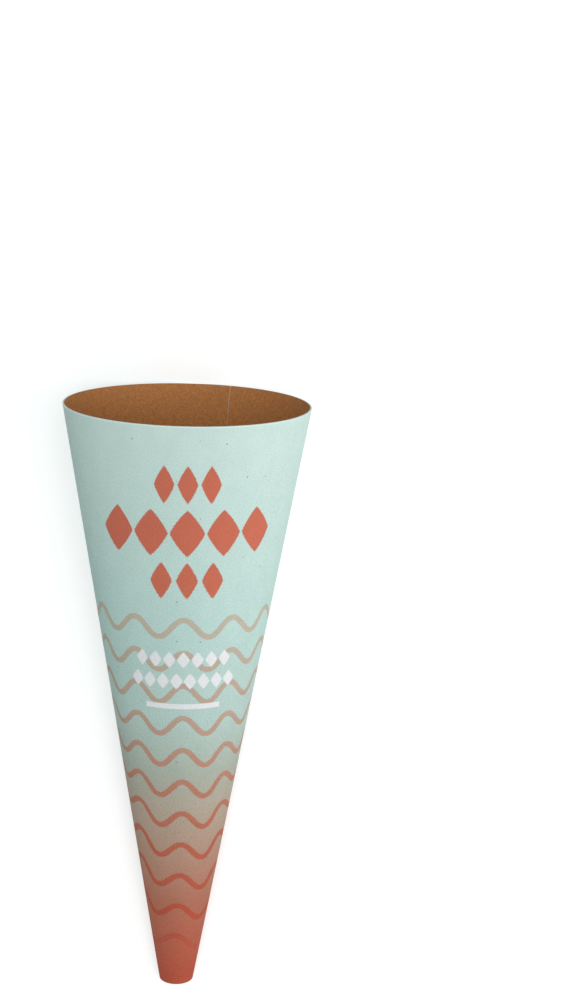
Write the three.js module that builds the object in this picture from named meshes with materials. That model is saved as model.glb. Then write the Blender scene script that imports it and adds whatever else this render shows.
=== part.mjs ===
import * as THREE from 'three';
import { mergeVertices } from 'three/addons/utils/BufferGeometryUtils.js';

// A cone sleeve of printed paper board, in millimetres with +Z up.
// Its flat blank is a fan: two arcs round one apex, joined by two straight cut edges.
// The blank is rolled into a cone that is cut off at the small end, and its last stretch is
// glued over its first as a lap. The wall climbs by one board thickness on its way round.
// The lap is pressed flat in the middle. The sleeve lies on that flat, with its mouth towards +Y.

const mouthInside = 49.3;
const tipInside = 6.2;
const slantLength = 128.5;
const boardThickness = 0.35;
const lapWidth = 16;
const pressedWidth = 6;

const largestFacetAngle = THREE.MathUtils.degToRad(4);
const rowsAlongSlant = 8;

const printedBoard = new THREE.MeshStandardMaterial({ color: 0xc3d6cc, roughness: 0.62, metalness: 0 });

const halfAngle = Math.asin((mouthInside - tipInside) / 2 / slantLength);
const apexToTip = tipInside / 2 / Math.sin(halfAngle);
const apexToMouth = apexToTip + slantLength;
const fullTurn = 2 * Math.PI;

// The lap and its pressed flat are measured along the mouth and taper with the cone.
const lapAngle = lapWidth / (mouthInside / 2);
const flatAngle = 2 * Math.asin(pressedWidth / 2 / (mouthInside / 2 + 2 * boardThickness));
const flatStart = (lapAngle - flatAngle) / 2;
const flatEnd = flatStart + flatAngle;

// The same number of equal steps from one turn angle to another, both ends included.
function steps(from, to) {
  const count = Math.ceil((to - from) / largestFacetAngle);
  return Array.from({ length: count + 1 }, (_, i) => THREE.MathUtils.lerp(from, to, i / count));
}

// The board from its first cut edge to its last, as columns that run from tip to mouth.
// climb is how far a column's inner face stands out from the mandrel that shapes the sleeve.
function boardColumns() {
  const lapTurns = [...steps(0, flatStart), ...steps(flatEnd, lapAngle)];
  const bodyTurns = steps(lapAngle, fullTurn).slice(1, -1);
  const climbAt = (turn) => boardThickness * (turn - lapAngle) / (fullTurn - lapAngle);
  const underLap = lapTurns.map((turn) => ({ turn, climb: 0 }));
  const body = bodyTurns.map((turn) => ({ turn, climb: climbAt(turn) }));
  const overLap = lapTurns.map((turn) => ({ turn, climb: boardThickness }));
  return {
    all: [...underLap, ...body, ...overLap],
    innerFace: [...underLap, ...body, overLap[0]],
    outerFace: [underLap.at(-1), ...body, ...overLap],
    firstEdge: underLap[0],
    lastEdge: overLap.at(-1),
  };
}

// A point of the board, with the cone's apex at the origin and its axis along +Z.
// depth runs through the board, from 0 on its inner face to its thickness on its outer face.
function boardPoint(column, slant, depth) {
  const lift = column.climb + depth;
  const radius = slant * Math.sin(halfAngle) + lift * Math.cos(halfAngle);
  const height = slant * Math.cos(halfAngle) - lift * Math.sin(halfAngle);
  const heading = Math.PI / 2 + column.turn - lapAngle / 2;
  return new THREE.Vector3(radius * Math.cos(heading), radius * Math.sin(heading), height);
}

// Two triangles for each cell of a grid of points, facing the side from which
// the rows run upwards when each row runs from left to right.
function addGrid(positions, grid) {
  for (let row = 0; row + 1 < grid.length; row += 1) {
    for (let i = 0; i + 1 < grid[row].length; i += 1) {
      const lowerLeft = grid[row][i];
      const lowerRight = grid[row][i + 1];
      const upperLeft = grid[row + 1][i];
      const upperRight = grid[row + 1][i + 1];
      positions.push(...lowerLeft, ...lowerRight, ...upperRight);
      positions.push(...lowerLeft, ...upperRight, ...upperLeft);
    }
  }
}

// The board is closed by its two faces, its two arcs and its two straight cut edges.
// The glued faces inside the lap are left out, so the lap is solid through both layers.
function rolledBoard() {
  const columns = boardColumns();
  const slants = Array.from({ length: rowsAlongSlant + 1 }, (_, row) => (
    apexToTip + slantLength * row / rowsAlongSlant
  ));
  const face = (list, depth) => slants.map((slant) => list.map((column) => boardPoint(column, slant, depth)));
  const arc = (slant, depth) => columns.all.map((column) => boardPoint(column, slant, depth));
  const cut = (column) => slants.map((slant) => (
    [boardPoint(column, slant, 0), boardPoint(column, slant, boardThickness)]
  ));

  const positions = [];
  addGrid(positions, face(columns.outerFace, boardThickness));
  addGrid(positions, face(columns.innerFace, 0).reverse());
  addGrid(positions, [arc(apexToMouth, boardThickness), arc(apexToMouth, 0)]);
  addGrid(positions, [arc(apexToTip, 0), arc(apexToTip, boardThickness)]);
  addGrid(positions, cut(columns.firstEdge));
  addGrid(positions, cut(columns.lastEdge).reverse());

  const geometry = new THREE.BufferGeometry();
  geometry.setAttribute('position', new THREE.Float32BufferAttribute(positions, 3));
  const closed = mergeVertices(geometry);
  closed.computeVertexNormals();
  return closed;
}

// Turned about X until the pressed flat faces down, then set on the ground with the
// middle of its outline over the origin.
function laidDown(sleeve) {
  const flatSlope = Math.atan(Math.tan(halfAngle) * Math.cos(flatAngle / 2));
  const group = new THREE.Group();
  group.rotation.x = flatSlope - Math.PI / 2;
  group.add(sleeve);
  group.updateMatrixWorld(true);
  const outline = new THREE.Box3().setFromObject(group, true);
  const middle = outline.getCenter(new THREE.Vector3());
  group.position.set(-middle.x, -middle.y, -outline.min.z);
  return group;
}

const sleeve = new THREE.Mesh(rolledBoard(), printedBoard);
sleeve.name = 'sleeve';

export default laidDown(sleeve);
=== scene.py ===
# Paper cone sleeve: a printed fan of board, rolled and glued, lying on its pressed lap on a white table.
import math

import bmesh
import bpy
from mathutils import Matrix, Vector


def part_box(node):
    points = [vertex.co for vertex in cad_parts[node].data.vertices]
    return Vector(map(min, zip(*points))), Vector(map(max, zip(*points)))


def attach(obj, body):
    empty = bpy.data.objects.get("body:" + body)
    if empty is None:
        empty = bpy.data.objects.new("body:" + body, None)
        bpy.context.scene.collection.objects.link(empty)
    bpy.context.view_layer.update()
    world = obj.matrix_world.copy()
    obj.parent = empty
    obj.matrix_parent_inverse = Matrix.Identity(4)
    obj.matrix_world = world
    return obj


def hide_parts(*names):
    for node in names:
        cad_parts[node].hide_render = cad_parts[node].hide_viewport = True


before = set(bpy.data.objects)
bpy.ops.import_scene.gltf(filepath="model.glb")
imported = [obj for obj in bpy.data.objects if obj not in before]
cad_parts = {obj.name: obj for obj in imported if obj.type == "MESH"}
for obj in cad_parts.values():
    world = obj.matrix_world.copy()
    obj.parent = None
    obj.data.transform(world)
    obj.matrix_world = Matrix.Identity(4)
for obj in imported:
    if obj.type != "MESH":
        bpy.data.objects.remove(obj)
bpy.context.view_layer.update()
scene = bpy.context.scene
fullTurn = 2 * math.pi
millimetres = 1000  # in a metre


# Node helpers

def newMaterial(name):
    material = bpy.data.materials.new(name)
    material.use_nodes = True
    return material, material.node_tree, material.node_tree.nodes["Principled BSDF"]


def feed(tree, socket, value):  # links what varies over the surface, and sets a plain number or colour
    if isinstance(value, bpy.types.NodeSocket):
        tree.links.new(value, socket)
    else:
        socket.default_value = value


def maths(tree, operation, first, second=None, third=None):
    node = tree.nodes.new("ShaderNodeMath")
    node.operation = operation
    for socket, value in zip(node.inputs, (first, second, third)):
        if value is not None:
            feed(tree, socket, value)
    return node.outputs[0]


def ramp(tree, value, fromLow, fromHigh, toLow=0.0, toHigh=1.0):
    node = tree.nodes.new("ShaderNodeMapRange")
    node.clamp = True
    tree.links.new(value, node.inputs["Value"])
    node.inputs["From Min"].default_value = fromLow
    node.inputs["From Max"].default_value = fromHigh
    node.inputs["To Min"].default_value = toLow
    node.inputs["To Max"].default_value = toHigh
    return node.outputs["Result"]


def linear(colour):  # a colour as it looks on screen, 0 to 255, to the renderer's own scale
    return [((c / 255 + 0.055) / 1.055) ** 2.4 if c > 10 else c / 255 / 12.92 for c in colour] + [1.0]


def mixColour(tree, factor, first, second, blend="MIX"):
    node = tree.nodes.new("ShaderNodeMix")
    node.data_type = "RGBA"
    node.blend_type = blend
    node.clamp_factor = True
    for index, value in ((0, factor), (6, first), (7, second)):  # the sockets of a mix of colours
        feed(tree, node.inputs[index], value)
    return node.outputs[2]


def fade(tree, value, stops, plain=False):  # stops are (place, screen colour), or plain numbers
    node = tree.nodes.new("ShaderNodeValToRGB")
    low, high = stops[0][0], stops[-1][0]
    tree.links.new(ramp(tree, value, low, high), node.inputs["Fac"])
    ends = node.color_ramp.elements
    for place, colour in stops[1:-1]:
        ends.new((place - low) / (high - low))
    for element, (place, colour) in zip(ends, stops):
        element.position = (place - low) / (high - low)
        element.color = [*colour, 1] if plain else linear(colour)
    return node.outputs["Color"]


def profile(tree, value, points):  # a number that runs through (place, number) points
    ends = [number for place, number in points]
    low, high = min(ends), max(ends)
    shades = [(place, [(number - low) / (high - low)] * 3) for place, number in points]
    grey = fade(tree, value, shades, plain=True)
    return maths(tree, "MULTIPLY_ADD", grey, high - low, low)


noiseRange = (0.3, 0.7)  # nearly all of a noise lies between these
noiseDetail = 3.0


def noise(tree, vector, scale, roughness=0.6):
    node = tree.nodes.new("ShaderNodeTexNoise")
    tree.links.new(vector, node.inputs["Vector"])
    node.inputs["Scale"].default_value = scale
    node.inputs["Detail"].default_value = noiseDetail
    node.inputs["Roughness"].default_value = roughness
    return node.outputs["Fac"]


def spread(tree, value, reach, middle=0.0):  # a noise, brought to a reach on either side of a number
    return ramp(tree, value, *noiseRange, middle - reach, middle + reach)


def stretched(tree, vector, scale, turn):  # turn is in degrees
    node = tree.nodes.new("ShaderNodeMapping")
    node.inputs["Scale"].default_value = scale
    node.inputs["Rotation"].default_value = (0, 0, math.radians(turn))
    tree.links.new(vector, node.inputs["Vector"])
    return node.outputs["Vector"]


def specks(tree, vector, setting):  # how strongly scattered dots show, with their sizes in millimetres
    apart, largest = setting["apart"], setting["largest"]
    softRim = largest / apart / 3
    cells = tree.nodes.new("ShaderNodeTexVoronoi")
    cells.voronoi_dimensions = "2D"
    cells.inputs["Scale"].default_value = 1 / apart
    tree.links.new(vector, cells.inputs["Vector"])
    chance = tree.nodes.new("ShaderNodeSeparateColor")
    tree.links.new(cells.outputs["Color"], chance.inputs["Color"])
    radius = ramp(tree, chance.outputs["Red"], 1 - setting["share"], 1.0, 0.0, largest / apart)
    inside = maths(tree, "SUBTRACT", radius, cells.outputs["Distance"])
    return maths(tree, "MULTIPLY", ramp(tree, inside, 0.0, softRim), setting["strength"])


def finishSurface(tree, surface, colour, height, setting):  # relief is in metres
    node = tree.nodes.new("ShaderNodeBump")
    node.inputs["Strength"].default_value = setting["reliefStrength"]
    node.inputs["Distance"].default_value = setting["relief"]
    tree.links.new(height, node.inputs["Height"])
    tree.links.new(node.outputs["Normal"], surface.inputs["Normal"])
    tree.links.new(colour, surface.inputs["Base Color"])
    surface.inputs["Roughness"].default_value = setting["roughness"]
    surface.inputs["Specular IOR Level"].default_value = setting["specular"]


# The board, in metres

board = {
    "mouthInside": 0.0493,
    "tipInside": 0.0062,
    "slantLength": 0.1285,
    "thickness": 0.00035,
    "lapWidth": 0.016,
    "pressedWidth": 0.006,
    "columns": 300,
    "rows": 64,
    "cutRounding": 0.00005,
}
halfAngle = math.asin((board["mouthInside"] - board["tipInside"]) / 2 / board["slantLength"])
apexToTip = board["tipInside"] / 2 / math.sin(halfAngle)
apexToMouth = apexToTip + board["slantLength"]
lapAngle = board["lapWidth"] / (board["mouthInside"] / 2)
pressedHalf = math.asin(board["pressedWidth"] / 2 / (board["mouthInside"] / 2 + 2 * board["thickness"]))
flatSlope = math.atan(math.tan(halfAngle) * math.cos(pressedHalf))


def climb(turn):  # how far the wall has moved out from the mandrel
    along = (turn - lapAngle) / (fullTurn - lapAngle)
    return board["thickness"] * min(max(along, 0.0), 1.0)


def rolled(turn, slant):
    lift = climb(turn)
    radius = slant * math.sin(halfAngle) + lift * math.cos(halfAngle)
    height = slant * math.cos(halfAngle) - lift * math.sin(halfAngle)
    fromLapMiddle = (turn - lapAngle / 2 + math.pi) % fullTurn - math.pi
    if abs(fromLapMiddle) < pressedHalf:
        radius *= math.cos(pressedHalf) / math.cos(fromLapMiddle)
    heading = math.pi / 2 + fromLapMiddle
    return Vector((radius * math.cos(heading), radius * math.sin(heading), height))


# A flat grid is the blank. Each point keeps where it lies on the print, in millimetres:
# across the blank from its middle line, down from the mouth, and round from the middle line.
def rollBoard(bm):
    place = bm.verts.layers.float_vector.new("print")
    bmesh.ops.create_grid(bm, x_segments=board["columns"], y_segments=board["rows"], size=0.5)  # 1 by 1
    printMiddle = lapAngle / 2 + math.pi
    for vert in bm.verts:
        turn = (vert.co.x + 0.5) * (fullTurn + lapAngle)
        slant = apexToTip + (vert.co.y + 0.5) * board["slantLength"]
        fan = (turn - printMiddle) * math.sin(halfAngle)
        vert[place] = Vector((slant * math.sin(fan), apexToMouth - slant, slant * fan)) * millimetres
        vert.co = rolled(turn, slant)
    bmesh.ops.recalc_face_normals(bm, faces=bm.faces)
    outward = sum(face.normal.dot(face.calc_center_median().xy.to_3d()) for face in bm.faces)
    if outward > 0:  # this is the inside face, so it looks at the axis
        bmesh.ops.reverse_faces(bm, faces=bm.faces)


squarelyFacing = 0.8  # only the two sides of the board look in or out more squarely than this
cutCorner = 1.0  # in radians: only the corners of a cut are sharper
softBend = 0.35  # in radians: anything sharper is drawn as a crease


def finishOf(face):  # 0 outside, 1 inside, 2 on a cut edge
    middle = face.calc_center_median()
    facingOut = face.normal.dot(Vector((middle.x, middle.y, 0)).normalized())
    if abs(facingOut) <= squarelyFacing:
        return 2
    return 0 if facingOut > 0 else 1


def thickenBoard(bm):
    bmesh.ops.solidify(bm, geom=bm.faces[:], thickness=board["thickness"])
    bm.normal_update()
    sharp = [edge for edge in bm.edges if len(edge.link_faces) == 2 and edge.calc_face_angle() > cutCorner]
    bmesh.ops.bevel(bm, geom=sharp, offset=board["cutRounding"], offset_type="OFFSET", segments=2,
                    profile=0.5, affect="EDGES", material=-1)
    bm.normal_update()
    for face in bm.faces:
        face.smooth = True
        face.material_index = finishOf(face)
    for edge in bm.edges:
        edge.smooth = len(edge.link_faces) == 2 and edge.calc_face_angle() < softBend


def layDown(bm):  # onto the pressed flat of the lap, where the frame has the sleeve
    bmesh.ops.transform(bm, matrix=Matrix.Rotation(flatSlope - math.pi / 2, 4, "X"), verts=bm.verts)
    low = Vector(map(min, *(vert.co for vert in bm.verts)))
    high = Vector(map(max, *(vert.co for vert in bm.verts)))
    nodeLow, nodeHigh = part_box("sleeve")
    shift = (nodeLow + nodeHigh - low - high) / 2
    shift.z = nodeLow.z - low.z
    bmesh.ops.translate(bm, vec=shift, verts=bm.verts)
    return shift


# The print, in millimetres on the flat blank. The fades are colours at distances from the mouth.

printing = {
    "middle": 1.16,  # where the waves and the pale shapes are centred, across the blank
    "fade": (
        (0, (200, 219, 213)),
        (46, (185, 210, 204)),
        (64, (181, 202, 195)),
        (76, (172, 177, 164)),
        (84, (179, 165, 149)),
        (98, (180, 137, 117)),
        (108, (180, 113, 92)),
        (118, (184, 99, 78)),
        (126, (184, 87, 66)),
    ),
    "waveFade": (
        (40, (189, 179, 163)),
        (64, (186, 158, 141)),
        (79, (184, 126, 106)),
        (94, (183, 101, 79)),
        (110, (182, 86, 66)),
        (115, (183, 87, 67)),
        (119, (185, 92, 72)),
    ),
    "edgeBlur": 0.08,
    "edgeRoughness": 0.16,
}


def inkEdge(tree, distance):  # 1 inside a shape, falling to 0 over the blur of a printed edge
    blur = printing["edgeBlur"]
    return ramp(tree, distance, -blur, blur, 1.0, 0.0)


# Wavy lines, which lean, bow and drift a little towards the small end.
# Height and length go by the row, and lean and bow by the distance from the mouth.

waves = {
    "first": 42.66,  # from the mouth to the first row
    "pitch": 7.32,
    "pitchGrowth": 0.002,
    "rows": 11,
    "height": ((0, 1.9), (5, 1.83), (10, 1.51)),  # from the middle of a wave to its crest
    "length": ((0, 9.9), (5, 9.16)),  # from crest to crest
    "line": 1.2,
    "lean": ((60, 0), (73, 0.027), (87, 0.107), (102, 0.149), (118, 0.128)),
    "bow": ((60, 0), (73, 0.0046), (87, 0.0176), (102, 0.0163), (118, 0)),
    "driftFrom": 85,
    "drift": 0.0011,
    "frontHalf": 0.25,
}


# Lean and bow grow only over the front, a wedge of the blank that tapers towards the apex.
def waveLevel(tree, across, down):
    toApex = maths(tree, "SUBTRACT", apexToMouth * millimetres, down)
    side = maths(tree, "MULTIPLY", toApex, waves["frontHalf"])
    front = maths(tree, "MINIMUM", across, side)
    front = maths(tree, "MAXIMUM", front, maths(tree, "MULTIPLY", side, -1.0))
    lean = maths(tree, "MULTIPLY", profile(tree, down, waves["lean"]), front)
    bow = maths(tree, "MULTIPLY", front, front)
    bow = maths(tree, "MULTIPLY", profile(tree, down, waves["bow"]), bow)
    return maths(tree, "ADD", maths(tree, "SUBTRACT", down, lean), bow)


def waveLines(tree, across, down, ragged):
    drift = maths(tree, "MAXIMUM", maths(tree, "SUBTRACT", down, waves["driftFrom"]), 0.0)
    drift = maths(tree, "POWER", drift, 2.0)
    drift = maths(tree, "MULTIPLY", drift, waves["drift"])
    place = maths(tree, "ADD", maths(tree, "SUBTRACT", across, printing["middle"]), drift)
    level = maths(tree, "SUBTRACT", waveLevel(tree, across, down), waves["first"])
    row = maths(tree, "DIVIDE", level, waves["pitch"])
    growth = maths(tree, "MULTIPLY", maths(tree, "MULTIPLY", row, row), waves["pitchGrowth"])
    row = maths(tree, "SUBTRACT", row, growth)
    length = profile(tree, row, waves["length"])
    height = profile(tree, row, waves["height"])
    angle = maths(tree, "MULTIPLY", maths(tree, "DIVIDE", place, length), fullTurn)
    rise = maths(tree, "MULTIPLY", maths(tree, "COSINE", angle), height)
    row = maths(tree, "ADD", row, maths(tree, "DIVIDE", rise, waves["pitch"]))

    # How far a point is off the nearest line, measured square to the line's slope there
    nearest = maths(tree, "MAXIMUM", maths(tree, "ROUND", row), 0.0)
    nearest = maths(tree, "MINIMUM", nearest, waves["rows"] - 1)
    off = maths(tree, "ABSOLUTE", maths(tree, "SUBTRACT", row, nearest))
    off = maths(tree, "MULTIPLY", off, waves["pitch"])
    steep = maths(tree, "MULTIPLY", maths(tree, "SINE", angle), fullTurn)
    steep = maths(tree, "DIVIDE", maths(tree, "MULTIPLY", steep, height), length)
    sloping = maths(tree, "SQRT", maths(tree, "MULTIPLY_ADD", steep, steep, 1.0))
    distance = maths(tree, "SUBTRACT", maths(tree, "DIVIDE", off, sloping), waves["line"] / 2)
    return inkEdge(tree, maths(tree, "ADD", distance, ragged))


# Rows of lozenges above the waves, and two small pale rows over a pale bar among them

ornament = {
    "coral": (199, 108, 86),
    "coralMiddle": 1.7,
    "coralRows": (
        {"down": 11.9, "count": 3, "pitch": 4.5, "half": (1.95, 3.9)},
        {"down": 22.1, "count": 5, "pitch": 7.1, "half": (3.35, 4.9)},
        {"down": 32.2, "count": 3, "pitch": 5.0, "half": (2.1, 3.9)},
    ),
    "pale": (230, 228, 230),
    "paleRows": (
        {"down": 49.6, "count": 7, "pitch": 2.76, "half": (1.2, 1.75)},
        {"down": 54.4, "count": 8, "pitch": 2.66, "half": (1.2, 1.75)},
    ),
    "barDown": 60.15,
    "barHalf": (7.4, 0.58),
    "roundness": 1.18,
}


# Each point is measured from the middle of its nearest lozenge.
def lozengeRow(tree, across, down, middle, row, ragged):
    power = ornament["roundness"]
    width, height = row["half"]
    cell = maths(tree, "DIVIDE", maths(tree, "SUBTRACT", across, middle), row["pitch"])
    cell = maths(tree, "ADD", cell, (row["count"] - 1) / 2)
    nearest = maths(tree, "MAXIMUM", maths(tree, "ROUND", cell), 0.0)
    nearest = maths(tree, "MINIMUM", nearest, row["count"] - 1)
    x = maths(tree, "ABSOLUTE", maths(tree, "SUBTRACT", cell, nearest))
    x = maths(tree, "POWER", maths(tree, "MULTIPLY", x, row["pitch"] / width), power)
    y = maths(tree, "ABSOLUTE", maths(tree, "SUBTRACT", down, row["down"]))
    y = maths(tree, "POWER", maths(tree, "DIVIDE", y, height), power)
    reach = maths(tree, "POWER", maths(tree, "ADD", x, y), 1 / power)
    scale = width * height / math.hypot(width, height)
    distance = maths(tree, "MULTIPLY", maths(tree, "SUBTRACT", reach, 1.0), scale)
    return inkEdge(tree, maths(tree, "ADD", distance, ragged))


def barShape(tree, across, down, ragged):
    width, height = ornament["barHalf"]
    x = maths(tree, "ABSOLUTE", maths(tree, "SUBTRACT", across, printing["middle"]))
    y = maths(tree, "ABSOLUTE", maths(tree, "SUBTRACT", down, ornament["barDown"]))
    distance = maths(tree, "MAXIMUM", maths(tree, "SUBTRACT", x, width), maths(tree, "SUBTRACT", y, height))
    return inkEdge(tree, maths(tree, "ADD", distance, ragged))


# The printed outside. Grain is a share of the colour, and dust an amount added to all of it.

paper = {
    "grain": ((3, 0.1), (20, 0.145), (50, 0.145), (66, 0.18), (95, 0.178), (110, 0.15)),
    "grainDust": ((60, 0), (76, 0.0062), (100, 0.007), (110, 0.009), (124, 0.0145)),
    "grainScale": 3.7,
    "cloud": 0.02,
    "cloudScale": 0.22,
    "speck": (96, 88, 76),
    "specks": {"apart": 4.5, "largest": 0.2, "share": 0.35, "strength": 0.6},
    # A pale band just under the mouth's edge, in millimetres from the mouth: rubbed ink, and a painted
    # highlight along the rim
    "rubAndRimHighlightColour": (226, 242, 241),
    "rubAndRimHighlightDown": (0.05, 0.28),
    "rubAndRimHighlightRagged": 0.12,
    "rubAndRimHighlightStrength": 0.8,
    "surface": {"roughness": 0.62, "specular": 0.06, "relief": 0.00003, "reliefStrength": 0.6},
}


def printPlace(tree):
    attribute = tree.nodes.new("ShaderNodeAttribute")
    attribute.attribute_name = "print"
    return attribute.outputs["Vector"]


def printedFace():
    material, tree, surface = newMaterial("printed_board")
    place = printPlace(tree)
    parts = tree.nodes.new("ShaderNodeSeparateXYZ")
    tree.links.new(place, parts.inputs["Vector"])
    across, down = parts.outputs["X"], parts.outputs["Y"]
    grain = noise(tree, place, paper["grainScale"])
    cloud = noise(tree, place, paper["cloudScale"], roughness=0.5)
    ragged = spread(tree, grain, printing["edgeRoughness"] / 2)

    colour = fade(tree, down, printing["fade"])
    waveInk = fade(tree, down, printing["waveFade"])
    colour = mixColour(tree, waveLines(tree, across, down, ragged), colour, waveInk)
    for row in ornament["coralRows"]:
        shape = lozengeRow(tree, across, down, ornament["coralMiddle"], row, ragged)
        colour = mixColour(tree, shape, colour, linear(ornament["coral"]))
    for row in ornament["paleRows"]:
        shape = lozengeRow(tree, across, down, printing["middle"], row, ragged)
        colour = mixColour(tree, shape, colour, linear(ornament["pale"]))
    colour = mixColour(tree, barShape(tree, across, down, ragged), colour, linear(ornament["pale"]))

    fleck = spread(tree, grain, 1.0)
    mottle = maths(tree, "MULTIPLY_ADD", fleck, profile(tree, down, paper["grain"]), 1.0)
    mottle = maths(tree, "MULTIPLY", mottle, spread(tree, cloud, paper["cloud"], 1.0))
    colour = mixColour(tree, 1.0, colour, mottle, "MULTIPLY")
    dust = maths(tree, "MULTIPLY", fleck, profile(tree, down, paper["grainDust"]))
    colour = mixColour(tree, 1.0, colour, dust, "ADD")
    colour = mixColour(tree, specks(tree, place, paper["specks"]), colour, linear(paper["speck"]))
    # The pale band at the mouth is rubbed ink and a painted rim highlight
    fromMouth = maths(tree, "ADD", down, spread(tree, grain, paper["rubAndRimHighlightRagged"]))
    rubAndRimHighlight = ramp(tree, fromMouth, *paper["rubAndRimHighlightDown"], paper["rubAndRimHighlightStrength"], 0.0)
    colour = mixColour(tree, rubAndRimHighlight, colour, linear(paper["rubAndRimHighlightColour"]))
    finishSurface(tree, surface, colour, grain, paper["surface"])
    return material


# The brown inside, with two lays of fibres over a grain

kraft = {
    "dark": (160, 99, 54),
    "pale": (212, 148, 90),
    "contrast": (0.34, 0.66),
    "fibres": (
        {"stretch": (1.0, 4.2, 1.0), "turn": 6, "share": 0.35},
        {"stretch": (3.4, 1.1, 1.0), "turn": -30, "share": 0.3},
    ),
    "grainScale": 3.5,
    "grainShare": 0.35,
    "speck": (96, 88, 76),
    "specks": {"apart": 2.2, "largest": 0.16, "share": 0.4, "strength": 0.5},
    "surface": {"roughness": 0.8, "specular": 0.2, "relief": 0.00004, "reliefStrength": 0.6},
}


def kraftInside():
    material, tree, surface = newMaterial("kraft_inside")
    place = printPlace(tree)
    fibres = maths(tree, "MULTIPLY", noise(tree, place, kraft["grainScale"]), kraft["grainShare"])
    for lay in kraft["fibres"]:
        strands = noise(tree, stretched(tree, place, lay["stretch"], lay["turn"]), 1.0)
        fibres = maths(tree, "MULTIPLY_ADD", strands, lay["share"], fibres)
    paleness = ramp(tree, fibres, *kraft["contrast"])
    colour = mixColour(tree, paleness, linear(kraft["dark"]), linear(kraft["pale"]))
    colour = mixColour(tree, specks(tree, place, kraft["specks"]), colour, linear(kraft["speck"]))
    finishSurface(tree, surface, colour, fibres, kraft["surface"])
    return material


# The pale board that the cuts lay open

core = {
    "dull": (214, 226, 222),
    "bright": (234, 244, 241),
    "contrast": (0.35, 0.65),
    "fibreScale": 5.0,
    "surface": {"roughness": 0.85, "specular": 0.5, "relief": 0.00003, "reliefStrength": 0.8},
}


def cutEdge():
    material, tree, surface = newMaterial("cut_edge")
    fibres = noise(tree, printPlace(tree), core["fibreScale"], roughness=0.5)
    brightness = ramp(tree, fibres, *core["contrast"])
    colour = mixColour(tree, brightness, linear(core["dull"]), linear(core["bright"]))
    finishSurface(tree, surface, colour, fibres, core["surface"])
    return material


def makeSleeve():
    bm = bmesh.new()
    rollBoard(bm)
    thickenBoard(bm)
    shift = layDown(bm)
    mesh = bpy.data.meshes.new("rolled_board")
    bm.to_mesh(mesh)
    bm.free()
    sleeve = bpy.data.objects.new("rolled_board", mesh)
    scene.collection.objects.link(sleeve)
    print("board rolled and laid down")
    for material in (printedFace(), kraftInside(), cutEdge()):  # in the order that finishOf counts
        mesh.materials.append(material)
    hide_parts("sleeve")
    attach(sleeve, "root")
    print("sleeve:", len(mesh.polygons), "faces")
    return shift


sleeveShift = makeSleeve()


# Floor, light and camera

studio = {
    "floorSize": 3.0,
    "floorColour": (218, 218, 218),
    "floorRoughness": 0.9,
    "floorSpecular": 0.1,
    "floorLift": 0.44,
    "worldColour": (0.87, 1.05, 1.05),
    "backdropColour": (215, 220, 220),
    "worldStrength": 0.362,
    "lamps": (
        {"name": "top_softbox", "power": 3.68, "colour": (1, 0.97, 0.965), "size": 0.5, "distance": 0.8,
         "lean": 4, "ahead": 0.05},
        {"name": "side_softbox", "power": 0.2, "colour": (1, 0.96, 0.965), "size": 0.14, "distance": 0.22,
         "lean": 76, "ahead": 0.12},
    ),
}


def makeFloor():
    bm = bmesh.new()
    bmesh.ops.create_grid(bm, x_segments=1, y_segments=1, size=studio["floorSize"] / 2)
    mesh = bpy.data.meshes.new("table")
    bm.to_mesh(mesh)
    bm.free()
    floor = bpy.data.objects.new("table", mesh)
    scene.collection.objects.link(floor)
    material, tree, surface = newMaterial("table_white")
    surface.inputs["Base Color"].default_value = linear(studio["floorColour"])
    surface.inputs["Roughness"].default_value = studio["floorRoughness"]
    surface.inputs["Specular IOR Level"].default_value = studio["floorSpecular"]
    surface.inputs["Emission Color"].default_value = (1, 1, 1, 1)
    rays = tree.nodes.new("ShaderNodeLightPath")  # the lift to white is seen, and lights nothing
    seen = maths(tree, "MAXIMUM", rays.outputs["Is Camera Ray"], rays.outputs["Is Glossy Ray"])
    seen = maths(tree, "MAXIMUM", seen, rays.outputs["Is Transmission Ray"])
    tree.links.new(maths(tree, "MULTIPLY", seen, studio["floorLift"]), surface.inputs["Emission Strength"])
    mesh.materials.append(material)


def makeWorld():
    world = bpy.data.worlds.new("studio")
    world.use_nodes = True
    tree = world.node_tree
    background = tree.nodes["Background"]
    rays = tree.nodes.new("ShaderNodeLightPath")  # the backdrop is seen, and the world colour lights
    seen = maths(tree, "MAXIMUM", rays.outputs["Is Camera Ray"], rays.outputs["Is Transmission Ray"])
    lit = maths(tree, "MULTIPLY", maths(tree, "SUBTRACT", 1.0, seen), studio["worldStrength"])
    tree.links.new(maths(tree, "ADD", seen, lit), background.inputs["Strength"])
    colour = mixColour(tree, seen, (*studio["worldColour"], 1), linear(studio["backdropColour"]))
    tree.links.new(colour, background.inputs["Color"])
    scene.world = world


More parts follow.
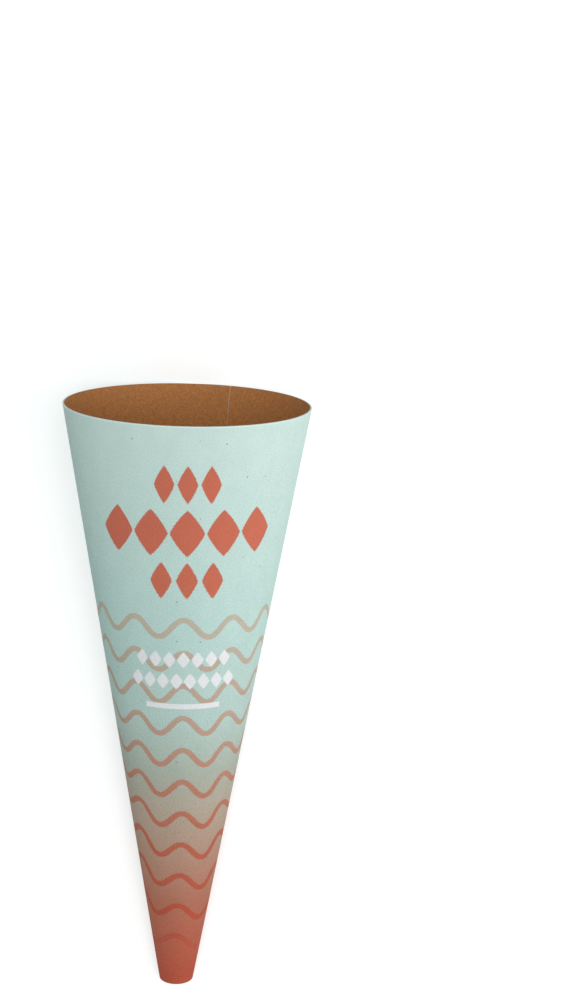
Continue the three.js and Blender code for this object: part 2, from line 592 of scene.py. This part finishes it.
def makeLamp(setting):  # lean is in degrees from upright, towards +X
    lamp = bpy.data.lights.new(setting["name"], "AREA")
    lamp.shape = "SQUARE"
    lamp.size = setting["size"]
    lamp.energy = setting["power"]
    lamp.color = setting["colour"]
    light = bpy.data.objects.new(setting["name"], lamp)
    lean = math.radians(setting["lean"])
    direction = Vector((math.sin(lean), setting["ahead"], math.cos(lean))).normalized()
    light.location = direction * setting["distance"]
    light.rotation_euler = direction.to_track_quat("Z", "Y").to_euler()
    scene.collection.objects.link(light)


# The camera is placed by the middle of the mouth: how far off it is and which pixel it falls on.

view = {
    "lens": 64.8,
    "sensorWidth": 36,
    "clip": (0.01, 10),
    "fromMouth": 0.3642,
    "towardsMouth": 13.01,  # degrees between the line of sight and square on to the axis
    "roll": -1.86,
    "mouthPixel": (187.2, 403.7),
    "frameSize": (565, 1000),
}


def makeCamera(sleeveShift):
    data = bpy.data.cameras.new("camera")
    data.lens = view["lens"]
    data.sensor_width = view["sensorWidth"]
    camera = bpy.data.objects.new("camera", data)
    tilt = math.radians(view["towardsMouth"])
    turn = Matrix.Rotation(flatSlope - tilt, 4, "X") @ Matrix.Rotation(math.radians(-view["roll"]), 4, "Z")
    middleLift = board["thickness"] * 1.5  # the outside of the board, halfway up its climb
    alongAxis = apexToMouth * math.cos(halfAngle) - middleLift * math.sin(halfAngle)
    mouth = Matrix.Rotation(flatSlope - math.pi / 2, 3, "X") @ Vector((0, 0, alongAxis)) + sleeveShift
    width, height = view["frameSize"]
    perPixel = view["fromMouth"] * data.sensor_width / data.lens / height
    seen = Vector((
        (view["mouthPixel"][0] - width / 2) * perPixel,
        (height / 2 - view["mouthPixel"][1]) * perPixel,
        -view["fromMouth"],
    ))
    camera.matrix_world = Matrix.Translation(mouth - turn.to_3x3() @ seen) @ turn
    data.clip_start, data.clip_end = view["clip"]
    scene.collection.objects.link(camera)
    scene.camera = camera


makeFloor()
makeWorld()
for setting in studio["lamps"]:
    makeLamp(setting)
makeCamera(sleeveShift)
scene.view_settings.view_transform = "Standard"
print("studio and camera ready")
